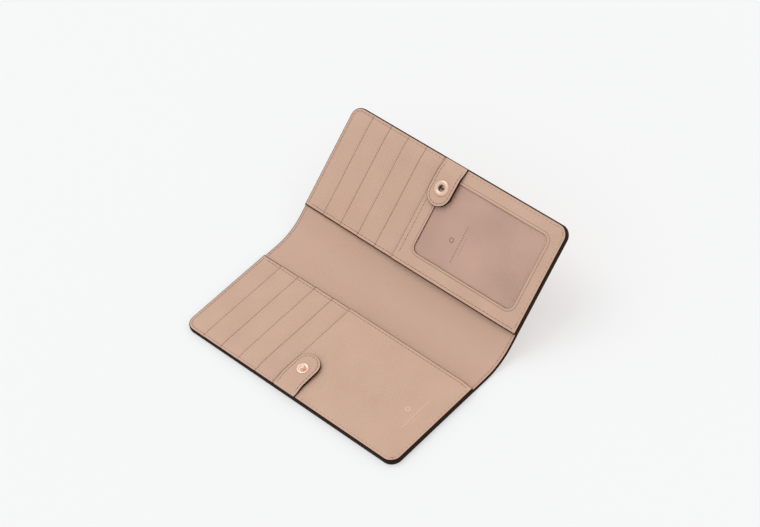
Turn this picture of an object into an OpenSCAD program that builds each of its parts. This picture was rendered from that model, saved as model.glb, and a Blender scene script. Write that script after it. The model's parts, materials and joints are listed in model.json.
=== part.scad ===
// Long folding wallet, lying on its lower half with the upper half raised.
// Millimetres. X runs along the spine, Y across the two halves, Z up.
// The origin is the centre of the lower half's underside, on which the wallet lies.

/* [Wallet] */
// Length of the wallet, along its spine
wallet_l = 171; // [165:1:190]
// Height of each pocket panel, from its inner edge to the outer edge
pocket_h = 68.7; // [66:0.1:80]
// Radius of the outer corners
corner_r = 7; // [3:0.5:12]
// Thickness of the painted edge
edge_t = 0.3; // [0.2:0.05:0.5]

/* [Layers] */
// Outer leather
cover_t = 1; // [0.8:0.1:1.4]
// Lining, with the rim that closes round the board
lining_t = 1.1; // [1:0.1:1.6]
// Stiffening board, let into the back of the lining
board_t = 0.5; // [0.3:0.1:0.7]
// Gap of the banknote pocket, between the lining and the card pockets
bill_gap = 0.3; // [0.2:0.1:1]
// Back panel of the card pockets
back_t = 0.7; // [0.5:0.1:1]
// Leaf of each card slot
leaf_t = 0.35; // [0.3:0.05:0.5]
// Plain front panel, and the window panel with its backing
front_t = 0.9; // [0.8:0.1:1.2]
// Backing behind the window
backing_t = 0.3; // [0.2:0.1:0.4]
// Clear film of the window
film_t = 0.2; // [0.1:0.05:0.3]

/* [Card slots] */
// Distance from the left end to the mouth of the first slot
slot_start = 15.7; // [12:0.1:20]
// Distance from one slot's mouth to the next
slot_pitch = 14.6; // [12:0.1:16]
// Card slots in each half before the front panel
slots = 4; // [3:1:5]

/* [Window] */
// Width of the window, along the wallet
window_w = 77.7; // [60:0.1:80]
// Height of the window
window_h = 48.5; // [40:0.1:52]
// Border between the window and the right end
window_side = 8.8; // [7:0.1:12]
// Border between the window and the outer edge
window_border = 9.9; // [8:0.1:12]
// Radius of the window's corners
window_r = 4.5; // [2:0.5:8]

/* [Tabs] */
// Width of each snap tab
tab_w = 17.4; // [16:0.1:22]
// Length of each tab, from the outer edge to its round tip
tab_l = 28.7; // [24:0.1:32]
// Each of a tab's two leathers
tab_leather_t = 0.9; // [0.7:0.1:1]
// Middle of the tabs along X
tab_x = -1.3; // [-6:0.1:6]
// How far a tab's tip is lifted at rest, in degrees
tab_lift = 2; // [1:0.5:2.5]

/* [Snap] */
// Distance from the outer edge to the middle of the snap
snap_inset = 17.2; // [15:0.1:18]
// Outer diameter of the socket ring
socket_d = 10.2; // [9.5:0.1:11]
// Height of the socket ring above the tab
socket_h = 1; // [0.8:0.1:1.1]
// Bore of the socket
socket_bore = 4.4; // [4.2:0.1:4.6]
// Diameter of the stud's base
stud_d = 7.8; // [7:0.1:8.5]
// Height of the stud's base above the tab
stud_base_h = 0.6; // [0.5:0.1:0.7]
// Diameter of the stud's head
head_d = 3.6; // [3.2:0.1:3.7]
// Height of the stud's head above its base
head_h = 1.8; // [1.5:0.1:1.9]

/* [Spine] */
// Leather between each crease and the pocket panel
flap = 14.5; // [12:0.1:16]
// Part of the spine next to the lower crease that lies flat
spine_flat = 3.5; // [2:0.1:5]
// Radius of the spine's bend, on the lining
spine_r = 16.5; // [14:0.1:20]
// Bend of the spine between its two creases, in degrees
rest_bend = 38.3; // [20:0.1:50]
// Gap at a crease, at the face of the lining
crease_gap = 0.1; // [0.05:0.01:0.2]
// Slope of both sides of a crease, which lets the wallet open flat, in degrees
crease_bevel = 10.8; // [5:0.1:15]

/* [Hidden] */
$fn = 96;
half_d = flap + pocket_h;
under_t = cover_t + lining_t;
frame_t = front_t - backing_t;
back_z = bill_gap + back_t;
front_z = back_z + slots * leaf_t;
stack_h = front_z + front_t;
spine_end_y = half_d / 2 + spine_flat + spine_r * sin(rest_bend);
spine_end_z = under_t + spine_r * (1 - cos(rest_bend));
edge_rise = 0.15;
board_inset = 6;
welt_w = 4;
thread_in = 1.8;
thread_w = 0.5;
thread_h = 0.12;
tab_thread_in = 1.6;
tab_clear = 0.1;
tab_mid_z = tab_clear + tab_leather_t;
tab_top_z = tab_mid_z + tab_leather_t;
film_lap = 2.5;
flange_t = 0.35;
stud_flange_d = 7;
socket_flange_d = 9;
post_d = 2.4;
post_rise = 1.2;
barrel_d = 6.4;
barrel_bore = 5.2;
spring_groove_d = 6;
spring_h = 0.35;
spring_play = 0.05;
foil_t = 0.05;
foil_ring_d = 4.4;
foil_ring_bore = 2.8;
foil_ring_x = 66.4;
foil_bar_x = 72.4;
foil_mid = 34.6;
past = 1;

tan_mid = [0.81, 0.66, 0.57];
tan_dark = [0.76, 0.61, 0.52];
tan_light = [0.83, 0.69, 0.6];
edge_brown = [0.2, 0.12, 0.09];
rose_gold = [0.86, 0.68, 0.58];
clear_film = [0.85, 0.85, 0.85, 0.5];

function slot_x(i) = -wallet_l / 2 + slot_start + i * slot_pitch;
function level(i) = back_z + i * leaf_t;
function numbered(name, count) = [for (k = [1 : count]) str(name, "_", k)];

// Each half is drawn with y measured from its crease to its outer edge and z from the
// face of its lining, then placed by one of these.
module lower_half() {
    translate([0, half_d / 2, under_t]) mirror([0, 1, 0]) children();
}

module upper_half() {
    translate([0, spine_end_y, spine_end_z]) rotate([rest_bend, 0, 0]) children();
}

module at_spine() {
    translate([0, half_d / 2, under_t]) children();
}

// A tab is drawn from its root along +y, and folds back over the pockets.
module on_tab() {
    translate([tab_x, half_d, stack_h])
        rotate([-tab_lift, 0, 0])
            mirror([0, 1, 0])
                children();
}

module at_snap(z) {
    translate([0, snap_inset, z]) children();
}

module half_outline(inset, y0) {
    r = corner_r - inset;
    x = wallet_l / 2 - corner_r;
    y = half_d - corner_r;
    translate([-x - r, y0]) square([2 * (x + r), y - y0]);
    translate([-x, y0]) square([2 * x, y + r - y0]);
    for (side = [-1, 1]) translate([side * x, y]) circle(r);
}

module band(outer, inner, y0) {
    difference() {
        half_outline(outer, y0);
        half_outline(inner, y0 - past);
    }
}

module slab(z, t) {
    translate([0, 0, z]) linear_extrude(height = t) children();
}

// A section drawn in Y and Z, and extended along X.
module along_x(length) {
    rotate([90, 0, 90]) linear_extrude(height = length, center = true) children();
}

// What is cleared at the end of each piece that meets a crease.
module crease_cut() {
    depth = under_t + past;
    edge_y = crease_gap / 2;
    along_x(2 * wallet_l)
        polygon([
            [-past, past],
            [edge_y, past],
            [edge_y, 0],
            [edge_y + depth * tan(crease_bevel), -depth],
            [-past, -depth]
        ]);
}

// What lies between two places along X.
module between(x0, x1) {
    intersection() {
        children();
        translate([x0, -past]) square([x1 - x0, half_d + 2 * past]);
    }
}

module pocket_layer(z, t, x0) {
    slab(z, t) between(x0, wallet_l) half_outline(edge_t, flap);
}

module outer_leather() {
    color(tan_mid) difference() {
        slab(-under_t, cover_t) half_outline(edge_t, 0);
        crease_cut();
    }
}

module lining() {
    color(tan_mid) difference() {
        slab(-lining_t, lining_t) half_outline(edge_t, 0);
        slab(-lining_t - past, board_t + past) half_outline(board_inset, flap / 2);
        crease_cut();
    }
}

module stiffener_board() {
    color("wheat") slab(-lining_t, board_t) half_outline(board_inset, flap / 2);
}

module side_welt() {
    color(tan_dark) slab(0, bill_gap) band(edge_t, welt_w, flap);
}

module pocket_back() {
    color(tan_mid) pocket_layer(bill_gap, back_t, -wallet_l);
}

module card_leaf(k) {
    color(tan_dark) pocket_layer(level(k - 1), leaf_t, slot_x(k - 1));
}

module front_panel() {
    color(tan_light) pocket_layer(front_z, front_t, slot_x(slots));
}

module window_backing() {
    color(tan_light) pocket_layer(front_z, backing_t, slot_x(slots));
}

module window_outline(margin) {
    w = window_w / 2 + margin;
    h = window_h / 2 + margin;
    r = window_r + margin;
    translate([
        wallet_l / 2 - window_side - window_w / 2,
        half_d - window_border - window_h / 2
    ]) {
        square([2 * w, 2 * (h - r)], center = true);
        square([2 * (w - r), 2 * h], center = true);
        for (x = [-1, 1], y = [-1, 1]) translate([x * (w - r), y * (h - r)]) circle(r);
    }
}

module window_film() {
    color(clear_film) slab(front_z + backing_t, film_t) window_outline(film_lap);
}

module window_frame() {
    z = front_z + backing_t;
    color(tan_light) difference() {
        pocket_layer(z, frame_t, slot_x(slots));
        slab(z, frame_t + past) window_outline(0);
        slab(z - past, film_t + past) window_outline(film_lap);
    }
}

module edge_coat() {
    color(edge_brown) union() {
        difference() {
            slab(-under_t + edge_rise, under_t - edge_rise) band(0, edge_t, 0);
            crease_cut();
        }
        slab(0, back_z) band(0, edge_t, flap);
        for (i = [0 : slots])
            slab(level(i), i < slots ? leaf_t : front_t)
                between(slot_x(i), wallet_l) band(0, edge_t, flap);
    }
}

// The thread lies on whichever layer is uppermost, and stops at the tab's root.
module seam_thread() {
    stops = concat([-wallet_l], [for (i = [0 : slots]) slot_x(i)], [wallet_l]);
    color(tan_dark) difference() {
        for (i = [0 : slots + 1])
            slab(i <= slots ? level(i) : stack_h, thread_h)
                between(stops[i], stops[i + 1])
                    difference() {
                        half_outline(thread_in, flap + thread_in);
                        half_outline(thread_in + thread_w, flap + thread_in + thread_w);
                    }
        translate([tab_x - tab_w / 2 - past, half_d - flap, 0])
            cube([tab_w + 2 * past, flap + past, stack_h + past]);
    }
}

module foil_mark() {
    color(rose_gold) slab(stack_h, foil_t) {
        translate([foil_ring_x, flap + foil_mid])
            difference() {
                circle(d = foil_ring_d);
                circle(d = foil_ring_bore);
            }
        translate([foil_bar_x, flap + foil_mid]) square([1, 24], center = true);
        translate([foil_bar_x + 2.4, flap + foil_mid]) square([0.6, 12], center = true);
    }
}

// The spine's section from one depth below the lining's face to another.
module spine_section(top, bottom) {
    reach = 2 * spine_r;
    translate([0, -bottom]) square([spine_flat, bottom - top]);
    translate([spine_flat, spine_r]) intersection() {
        difference() {
            circle(spine_r + bottom);
            circle(spine_r + top);
        }
        polygon([
            [0, 0],
            [0, -reach],
            [reach * sin(rest_bend / 2), -reach],
            [reach * sin(rest_bend), -reach * cos(rest_bend)]
        ]);
    }
}

module spine_layer(top, bottom, length) {
    difference() {
        at_spine() along_x(length) spine_section(top, bottom);
        at_spine() crease_cut();
        upper_half() mirror([0, 1, 0]) crease_cut();
    }
}

module spine_leather() {
    color(tan_mid) spine_layer(lining_t, under_t, wallet_l - 2 * edge_t);
}

module spine_lining() {
    color(tan_mid) spine_layer(0, lining_t, wallet_l - 2 * edge_t);
}

module spine_edge_coat() {
    color(edge_brown)
        for (side = [-1, 1])
            translate([side * (wallet_l - edge_t) / 2, 0, 0])
                spine_layer(0, under_t - edge_rise, edge_t);
}

module tab_outline(inset, y0) {
    r = tab_w / 2 - inset;
    y = tab_l - tab_w / 2;
    translate([-r, y0]) square([2 * r, y - y0]);
    translate([0, y]) circle(r);
}

module tab_top_leather(hole_d) {
    color(tan_light) difference() {
        slab(tab_mid_z, tab_leather_t) tab_outline(edge_t, 0);
        at_snap(tab_mid_z - past) cylinder(d = hole_d, h = tab_leather_t + 2 * past);
    }
}

module tab_back_leather(flange_d) {
    color(tan_mid) difference() {
        slab(tab_clear, tab_leather_t) tab_outline(edge_t, 0);
        at_snap(tab_mid_z - flange_t) cylinder(d = flange_d, h = flange_t + past);
    }
}

module tab_edge_coat() {
    color(edge_brown) slab(tab_clear, 2 * tab_leather_t)
        difference() {
            tab_outline(0, 0);
            tab_outline(edge_t, -past);
        }
}

module tab_thread() {
    color(tan_dark) slab(tab_top_z, thread_h)
        difference() {
            tab_outline(tab_thread_in, tab_thread_in);
            tab_outline(tab_thread_in + thread_w, tab_thread_in + thread_w);
        }
}

module stud_post() {
    color(rose_gold) {
        at_snap(tab_mid_z - flange_t) cylinder(d = stud_flange_d, h = flange_t);
        at_snap(tab_mid_z) cylinder(d = post_d, h = tab_leather_t + post_rise);
    }
}

module snap_stud() {
    color(rose_gold) difference() {
        union() {
            at_snap(tab_top_z) cylinder(d = stud_d, h = stud_base_h);
            at_snap(tab_top_z) cylinder(d = head_d, h = stud_base_h + head_h);
        }
        at_snap(tab_top_z - past) cylinder(d = post_d, h = post_rise + past);
    }
}

module snap_socket() {
    groove_h = spring_h + 2 * spring_play;
    color(rose_gold) difference() {
        at_snap(tab_top_z) cylinder(d = socket_d, h = socket_h);
        at_snap(tab_top_z - past) cylinder(d = socket_bore, h = socket_h + 2 * past);
        at_snap(tab_top_z + (socket_h - groove_h) / 2)
            cylinder(d = spring_groove_d, h = groove_h);
    }
}

// A split ring that grips the stud's head, free to open in its groove.
module socket_spring() {
    color("silver") difference() {
        at_snap(tab_top_z + (socket_h - spring_h) / 2)
            cylinder(d = spring_groove_d - 2 * spring_play, h = spring_h);
        at_snap(tab_top_z) cylinder(d = socket_bore, h = socket_h);
        at_snap(tab_top_z + socket_h / 2)
            translate([spring_groove_d / 2, 0, 0]) cube([spring_groove_d, 1, 1], center = true);
    }
}

module socket_cap() {
    color(rose_gold) difference() {
        union() {
            at_snap(tab_mid_z - flange_t) cylinder(d = socket_flange_d, h = flange_t);
            at_snap(tab_mid_z) cylinder(d = barrel_d, h = tab_leather_t);
        }
        at_snap(tab_mid_z) cylinder(d = barrel_bore, h = tab_leather_t + past);
    }
}

lower_half() outer_leather();  // lower_outer_leather
lower_half() stiffener_board();  // lower_stiffener_board
lower_half() lining();  // lower_lining
lower_half() side_welt();  // lower_side_welt
lower_half() pocket_back();  // lower_pocket_back
lower_half() front_panel();  // lower_front_panel
lower_half() edge_coat();  // lower_edge_coat
lower_half() seam_thread();  // lower_seam_thread
lower_half() foil_mark();
upper_half() outer_leather();  // upper_outer_leather
upper_half() stiffener_board();  // upper_stiffener_board
upper_half() lining();  // upper_lining
upper_half() side_welt();  // upper_side_welt
upper_half() pocket_back();  // upper_pocket_back
upper_half() window_backing();
upper_half() window_film();
upper_half() window_frame();
upper_half() edge_coat();  // upper_edge_coat
upper_half() seam_thread();  // upper_seam_thread
lower_half() on_tab() tab_top_leather(post_d);  // lower_tab_top_leather
lower_half() on_tab() tab_back_leather(stud_flange_d);  // lower_tab_back_leather
lower_half() on_tab() tab_edge_coat();  // lower_tab_edge_coat
lower_half() on_tab() tab_thread();  // lower_tab_thread
lower_half() on_tab() snap_stud();
lower_half() on_tab() stud_post();
upper_half() on_tab() tab_top_leather(barrel_d);  // upper_tab_top_leather
upper_half() on_tab() tab_back_leather(socket_flange_d);  // upper_tab_back_leather
upper_half() on_tab() tab_edge_coat();  // upper_tab_edge_coat
upper_half() on_tab() tab_thread();  // upper_tab_thread
upper_half() on_tab() snap_socket();
upper_half() on_tab() socket_spring();
upper_half() on_tab() socket_cap();
for (k = [1 : slots]) {
    lower_half() card_leaf(k);
    upper_half() card_leaf(k);
}
spine_leather();
spine_lining();
spine_edge_coat();
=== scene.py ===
"""A long folding wallet of grained leather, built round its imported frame."""

import json
import math
from collections import namedtuple

import bmesh
import bpy
from bpy.props import FloatProperty, FloatVectorProperty, PointerProperty
from bpy.types import Operator, Panel, PropertyGroup
from mathutils import Matrix, Vector, noise


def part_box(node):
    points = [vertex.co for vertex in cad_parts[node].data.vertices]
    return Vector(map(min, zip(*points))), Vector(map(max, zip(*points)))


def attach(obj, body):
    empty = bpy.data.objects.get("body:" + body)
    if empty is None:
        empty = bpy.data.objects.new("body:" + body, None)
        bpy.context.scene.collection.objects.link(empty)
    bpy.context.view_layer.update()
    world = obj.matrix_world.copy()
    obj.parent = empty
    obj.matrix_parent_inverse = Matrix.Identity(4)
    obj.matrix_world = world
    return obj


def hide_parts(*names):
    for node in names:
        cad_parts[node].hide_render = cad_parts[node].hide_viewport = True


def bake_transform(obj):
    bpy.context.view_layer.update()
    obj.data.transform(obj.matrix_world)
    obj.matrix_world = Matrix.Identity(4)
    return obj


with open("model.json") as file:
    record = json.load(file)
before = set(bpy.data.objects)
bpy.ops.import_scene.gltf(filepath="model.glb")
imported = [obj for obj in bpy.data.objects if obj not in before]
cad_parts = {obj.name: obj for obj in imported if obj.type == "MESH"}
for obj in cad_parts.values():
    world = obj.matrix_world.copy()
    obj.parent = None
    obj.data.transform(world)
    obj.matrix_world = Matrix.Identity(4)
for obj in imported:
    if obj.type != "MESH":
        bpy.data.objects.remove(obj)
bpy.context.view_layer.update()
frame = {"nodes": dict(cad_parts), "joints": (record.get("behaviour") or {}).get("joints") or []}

bl_info = {
    "name": "Long wallet",
    "version": (1, 0, 0),
    "blender": (4, 5, 0),
    "location": "3D View > Sidebar > Wallet",
    "description": "Makes the leather, metal and film pieces of a long folding wallet",
    "category": "Mesh",
}

MM = 0.001


# ---- places taken from the frame

def joint_place(name):
    return Vector(next(j["pos_m"] for j in frame["joints"] if j["name"] == name))


def top_of(node):
    """Height of a lower node's upper face over the face of the lining."""
    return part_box(node)[1].z - LOWER_CREASE.z


LOWER_CREASE = joint_place("lower_crease")
UPPER_CREASE = joint_place("upper_crease")
LOWER_ROOT = joint_place("lower_tab_lift")
UPPER_ROOT = joint_place("upper_tab_lift")

DEPTH = LOWER_CREASE.y - LOWER_ROOT.y
STACK = LOWER_ROOT.z - LOWER_CREASE.z
UNDER = LOWER_CREASE.z
HALF_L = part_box("lower_edge_coat")[1].x
FLAP = LOWER_CREASE.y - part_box("lower_pocket_back")[1].y
BEND = math.atan2(UPPER_ROOT.z - UPPER_CREASE.z, UPPER_ROOT.y - UPPER_CREASE.y) - math.atan2(STACK, DEPTH)
SPINE_R = (UPPER_CREASE.z - LOWER_CREASE.z) / (1 - math.cos(BEND))
SPINE_FLAT = UPPER_CREASE.y - LOWER_CREASE.y - SPINE_R * math.sin(BEND)
SPINE_L = SPINE_FLAT + SPINE_R * BEND
TANGENT = SPINE_R * math.tan(BEND / 2)
KNEE = SPINE_FLAT + TANGENT
CORNER_R = 7 * MM
WAVE_SPAN = 26 * MM
LIP_FADE = 3 * MM
CELL = 4 * MM
COVER_CELL = 5 * MM
SPINE_CELL = 0.75 * MM
NEAR_RIM = [0.6 * MM, 1.5 * MM, 3 * MM]
NEAR_MIDDLE = [0.1 * MM, 0.35 * MM]
SQUARE_R = 0.3 * MM
GRAIN_PITCH = 1.4
PLAY = 0.1 * MM
WELD = 1e-7
EDGE_T = HALF_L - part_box("lower_lining")[1].x

SLOTS = 4
LEAVES = [f"card_leaf_{k}" for k in range(1, SLOTS + 1)]
MOUTHS = [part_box(f"lower_{leaf}")[0].x for leaf in LEAVES]
FRONT_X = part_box("lower_front_panel")[0].x
BACK_TOP = top_of("lower_pocket_back")
BACK_T = BACK_TOP - (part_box("lower_pocket_back")[0].z - LOWER_CREASE.z)
LEAF_TOPS = [top_of(f"lower_{leaf}") for leaf in LEAVES]
LEAF_T = LEAF_TOPS[1] - LEAF_TOPS[0]
FRONT_T = STACK - LEAF_TOPS[-1]
FRAME_T = 0.6 * MM
FILM_T = 0.2 * MM
FILM_LIFT = 0.12 * MM
FILM_LAP = 2 * MM
BACKING_T = FRONT_T - FRAME_T
COVER_T = 1.0 * MM
LINING_T = 0.6 * MM

TAB_X = LOWER_ROOT.x
TAB_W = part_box("lower_tab_edge_coat")[1].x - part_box("lower_tab_edge_coat")[0].x
TAB_L = 28.7 * MM
TAB_CLEAR = 0.1 * MM
TAB_LEATHER_T = 0.9 * MM
TAB_LIFT = math.radians(2)
SNAP_INSET = 17.2 * MM
BARREL_R = 2.5 * MM
ROOT_PRESS = 0.45
BEND_MARGIN = 6 * MM
ROOT_BEND = 8 * MM
TAB_GRAIN = 200 * MM
TAB_TOP = TAB_CLEAR + 2 * TAB_LEATHER_T

WINDOW_W, WINDOW_H = 77.7 * MM, 48.5 * MM
WINDOW_R = 4.5 * MM
WELT_H, WELT_W, WELT_FALL = 0.3 * MM, 1.1 * MM, 0.5 * MM
# GROOVE_SHADE is the half width of the band of painted shade along the crease round the window.
GROOVE_H, GROOVE_OUT, GROOVE_FALL, GROOVE_SHADE = 0.12 * MM, 1.7 * MM, 0.25 * MM, 0.12 * MM
FRAME_LINES = [margin * MM for margin in (2.2, 1.8, 1.6, 1.35, 1.1, 0.6, 0)]
WINDOW_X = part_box("window_film")[0].x + 2.5 * MM
WINDOW_V = DEPTH - 9.9 * MM - WINDOW_H

MARK_RING = 1.7 * MM, 1.05 * MM
MARK_ROWS = [(6.0 * MM, 24 * MM, 14, 1.1 * MM), (8.6 * MM, 12 * MM, 10, 0.5 * MM)]
FOIL_IN, FOIL_T = 2.2 * MM, 0.04 * MM
PRESSED_X, PRESSED_V, PRESSED_T = 20.4 * MM, 17.5 * MM, 0.03 * MM

STITCH_SHARE, STITCH_H = 0.33, 0.17 * MM
SEWN = ["waxed_thread", "needle_hole_shade"]
NEEDLE_HOLE = 0.45 * MM, 0.3 * MM, 0.05 * MM
WINDOW_STITCH_IN = 2.9 * MM
TAB_STITCH_IN, TAB_STITCH_START, TAB_STITCH_PITCH = 1.9 * MM, 2.5 * MM, 2.6 * MM

BEAD_AROUND = 10
BEAD_STEP, INNER_STEP, TAB_STEP = 1.0 * MM, 1.5 * MM, 0.9 * MM
BEAD_OVER, INNER_OVER = 0.03 * MM, 0.02 * MM
INNER_LAP = 0.6
# The upper half's inner edge stands further out, so its dark band is wider: painted shade under the raised
# pocket edge.
INNER_PROUD = {"lower": 0.4, "upper": 1.1}

# Profiles of the snap, in millimetres: radius and height over the tab's leather.
RING = [(2.2, -0.1), (2.2, 0.62), (2.65, 0.72), (3.0, 1.0), (4.3, 1.0), (5.1, 0.35), (5.1, -0.1)]
STUD = [(0, -0.1), (0, 2.15), (0.5, 2.18), (0.8, 2.4), (1.25, 2.4), (1.8, 2.0), (1.8, 1.55),
        (1.45, 1.1), (1.5, 0.55), (2.1, 0.42), (3.0, 0.6), (3.6, 0.5), (3.9, 0.2), (3.9, -0.1)]
BORE, BARREL, CUP_TOP, CUP_FLOOR = 2.15, BARREL_R / MM - 0.05, 0.05, -0.9
CUP = [(0, CUP_FLOOR), (BORE, CUP_FLOOR), (BORE, CUP_TOP), (BARREL, CUP_TOP), (BARREL, CUP_FLOOR + 0.05),
       (4.5, CUP_FLOOR + 0.05), (4.5, CUP_FLOOR - 0.2), (0, CUP_FLOOR - 0.2)]
WIRE_R, WIRE_RING_R, WIRE_H, WIRE_TURN = 0.2 * MM, 2.0 * MM, 0.1 * MM, math.radians(320)

KEY_FROM = Vector((-0.4, -0.06, 0.95))
KEY_ANGLE = math.radians(42)
KEY_COLOUR = 1, 0.985, 0.965
FLOOR_REACH = 4

Half = namedtuple("Half", "name side")
LOWER = Half("lower", -1)
UPPER = Half("upper", 1)


def along(half, v):
    """Length along the flat leather, from the lower crease, of a place v from the half's own crease."""
    return -v if half.side < 0 else SPINE_L + v


def place(x, s, h):
    """Where a point of the flat leather lies once the spine is bent. h is over the lining's face."""
    reach = shape().bend_reach
    start, end = KNEE - reach, SPINE_L - TANGENT + reach
    turn = BEND * min(max((s - start) / (end - start), 0), 1)
    r = reach / math.tan(BEND / 2)
    flat, past = min(s, start), max(s - end, 0)
    y = LOWER_CREASE.y + flat + r * math.sin(turn) + past * math.cos(turn)
    z = LOWER_CREASE.z + r * (1 - math.cos(turn)) + past * math.sin(turn)
    return Vector((x, y - h * math.sin(turn), z + h * math.cos(turn)))


def smooth(t):
    t = min(max(t, 0), 1)
    return t * t * (3 - 2 * t)


# ---- what a user may change

def number(name, description, value, **limits):
    return FloatProperty(name=name, description=description, default=value, **limits)


def distance(name, description, value):
    return number(name, description, value, unit="LENGTH")


class WalletShape(PropertyGroup):
    bend_reach: distance("Bend reach", "How far the spine's bend runs from its middle", 12.5 * MM)
    press: number("Press", "How far the sewn edges flatten the pocket layers", 0.55,
                  min=0, max=0.8, subtype="FACTOR")
    press_reach: distance("Press reach", "How far in from the edge the layers are flattened", 9 * MM)
    lower_gape: distance("Lower gape", "How far the lower banknote pocket stands open", 0.35 * MM)
    upper_gape: distance("Upper gape", "How far the upper banknote pocket stands open", 0.8 * MM)
    gape_reach: distance("Gape reach", "How deep the opening of the pocket runs", 12 * MM)
    lip: distance("Lip", "How far the mouth of each card slot stands up", 0.4 * MM)
    wave: distance("Waviness", "How uneven the leather lies", 0.25 * MM)
    rim_r: distance("Rim radius", "Rounding of the leather's cut edges", 0.28 * MM)
    bead_w: distance("Painted edge", "How far the edge paint laps over the leather", 0.5 * MM)
    stitch_pitch: distance("Stitch pitch", "Distance from one stitch to the next", 3 * MM)
    stitch_in: distance("Stitch inset", "Distance from the edge to the stitching", 2 * MM)
    stitch_w: distance("Thread width", "Width of the thread", 0.5 * MM)


def colour(name, description, value):
    return FloatVectorProperty(name=name, description=description, default=value, size=4,
                               min=0, max=1, subtype="COLOR")


class WalletColours(PropertyGroup):
    leather: colour("Leather", "Colour of the grained leather", (0.642, 0.438, 0.333, 1))
    leather_deep: colour("Grain lines", "Colour in the lines of the grain", (0.47, 0.295, 0.215, 1))
    lining: colour("Lining", "Colour of the smooth lining", (0.585, 0.39, 0.295, 1))
    backing: colour("Window backing", "Colour of the panel behind the window", (0.71, 0.475, 0.37, 1))
    edge: colour("Edge paint", "Colour of the painted edges", (0.014, 0.006, 0.003, 1))
    # Mouth paint is partly real edge paint and partly painted shade: the dark lines under slot mouths, pocket
    # edges and the window's edge.
    mouth: colour("Mouth paint", "Colour of the painted edges of the pockets", (0.06, 0.022, 0.012, 1))
    # The pressed colour also darkens the crease round the window: painted shade in that groove.
    pressed: colour("Pressed mark", "Colour of the mark pressed behind the film", (0.30, 0.17, 0.12, 1))
    thread: colour("Thread", "Colour of the thread", (0.45, 0.275, 0.195, 1))
    # Needle holes: painted shade, a dark colour on low dots where the holes are. It also darkens the grain
    # lines of the pressed mark and welts.
    hole: colour("Needle holes", "Colour inside the needle holes", (0.10, 0.04, 0.025, 1))
    metal: colour("Snap metal", "Colour of the plated snaps", (0.86, 0.61, 0.48, 1))
    # The socket well's dark colour is painted shade down inside the socket.
    well: colour("Socket well", "Colour down inside the socket", (0.10, 0.055, 0.04, 1))
    steel: colour("Spring steel", "Colour of the spring in the socket", (0.45, 0.38, 0.34, 1))
    film: colour("Film", "Tint of the clear film", (0.60, 0.42, 0.36, 1))
    foil: colour("Foil", "Colour of the stamped foil", (0.76, 0.55, 0.43, 1))
    board: colour("Board", "Colour of the stiffening board", (0.5, 0.36, 0.22, 1))
    floor: colour("Floor", "Colour of the lit floor", (0.48, 0.485, 0.49, 1))


class WalletStage(PropertyGroup):
    azimuth: number("Azimuth", "Turn of the camera round the wallet", math.radians(50.56), subtype="ANGLE")
    elevation: number("Elevation", "Height of the camera over the horizon",
                      math.radians(48.42), subtype="ANGLE")
    roll: number("Roll", "Tilt of the camera about its own axis", math.radians(-10.2), subtype="ANGLE")
    lens: number("Lens", "Focal length of the camera in millimetres", 120.0, min=10, max=300)
    camera: FloatVectorProperty(name="Camera", description="Where the camera stands",
                                default=(0.7612, -0.5803, 1.1483), subtype="TRANSLATION")
    sky: number("Sky", "Strength of the even light from all round", 0.86, min=0, max=5)
    glow: number("Floor glow", "Light that comes up through the floor", 0.425, min=0, max=2)
    key: number("Key", "Strength of the soft key light", 0.66, min=0, max=10)


def shape():
    return bpy.context.scene.wallet_shape


def colours():
    return bpy.context.scene.wallet_colours


# ---- how the layers lie

def edge_distance(x, v):
    """Distance in from the nearest of a half's three sewn edges."""
    return min(DEPTH - v, HALF_L - abs(x))


def flattened(x, v):
    """1 at a sewn edge, 0 well inside it."""
    return 1 - smooth(edge_distance(x, v) / shape().press_reach)


def ripple(half, x, v):
    spot = Vector((x / WAVE_SPAN, v / WAVE_SPAN, 3 * half.side))
    return shape().wave * noise.noise(spot) * (1 - flattened(x, v))


def layer_height(half, x, v, h):
    """Height over the lining of a pocket layer that would lie at h if nothing pressed or lifted it."""
    squeeze = shape().press * flattened(x, v)
    height = min(h, BACK_TOP) + max(h - BACK_TOP, 0) * (1 - squeeze)
    gape = shape().upper_gape if half.side > 0 else shape().lower_gape
    across = 1 - (x / HALF_L) ** 2
    opening = gape * across * math.exp(-max(v - FLAP, 0) / shape().gape_reach)
    return height + opening + ripple(half, x, v)


def lip_height(x, v, mouth):
    """How far a layer stands up behind its own mouth."""
    if x < mouth:
        return 0
    return shape().lip * math.exp(-(x - mouth) / LIP_FADE) * (1 - flattened(0, v))


def top_height(half, x, v):
    """Height of whatever lies uppermost."""
    if v < FLAP:
        return ripple(half, x, v)
    mouths = [-HALF_L, *MOUTHS, FRONT_X]
    tops = [BACK_TOP, *LEAF_TOPS, STACK]
    k = max(i for i, mouth in enumerate(mouths) if x >= mouth or i == 0)
    lift = lip_height(x, v, mouths[k]) if k else 0
    return layer_height(half, x, v, tops[k]) + lift


def tab_point(half, x, u, t):
    """A place on a tab, u from its root and t over the pockets, folded back over the layers."""
    root = 1 - smooth(u / shape().press_reach)
    pressed = layer_height(half, TAB_X, DEPTH - u, STACK)
    sag = 1 - ROOT_PRESS * root
    h = pressed + t * sag * math.cos(TAB_LIFT) + u * math.sin(TAB_LIFT)
    v = DEPTH - u * math.cos(TAB_LIFT) + t * math.sin(TAB_LIFT)
    return place(x, along(half, v), h)


# ---- meshes

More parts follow.
